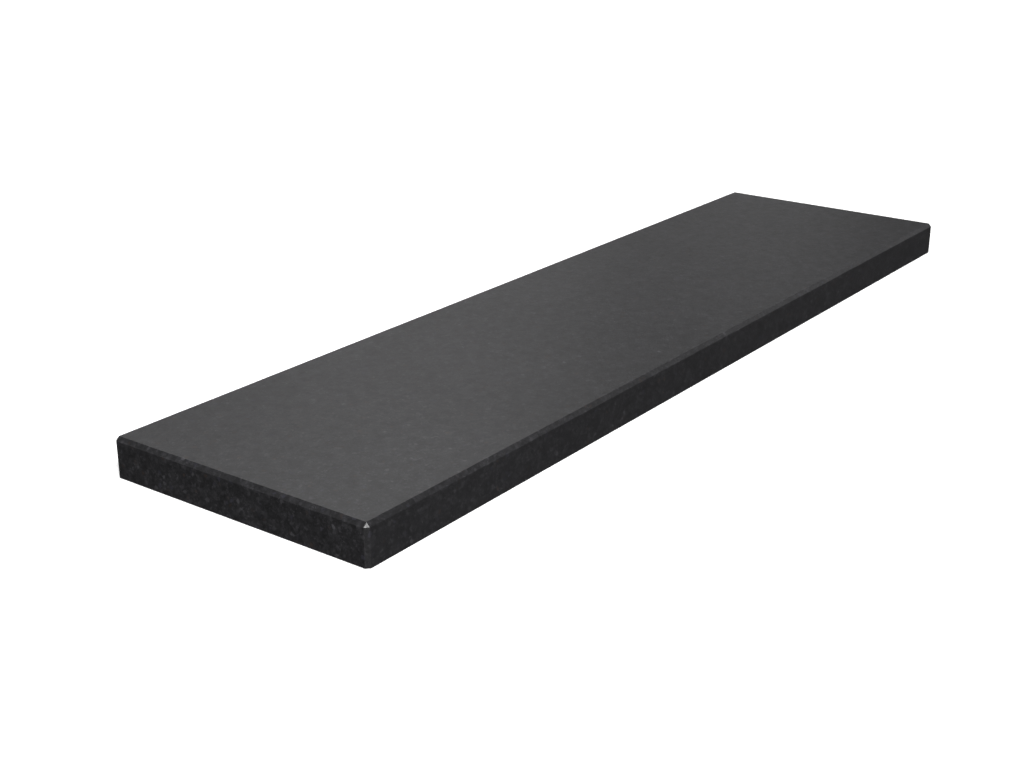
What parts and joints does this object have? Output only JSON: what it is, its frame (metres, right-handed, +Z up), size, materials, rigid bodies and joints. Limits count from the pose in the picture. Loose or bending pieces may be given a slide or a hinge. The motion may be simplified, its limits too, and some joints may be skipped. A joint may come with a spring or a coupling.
{
  "type": "granite slab",
  "caption": "Long, narrow slab of dark honed granite with bevelled top edges and corners, laid flat as a hard base for stamping, punching and skiving leather.",
  "frame": {"origin": "centre of the underside", "axes": "+X along the length, +Y across the width, +Z up to the working face"},
  "size_m": [0.85, 0.225, 0.03],
  "materials": {
    "granite": "satin"
  },
  "bodies": {
    "root": {"granite_slab": "granite"}
  },
  "joints": []
}
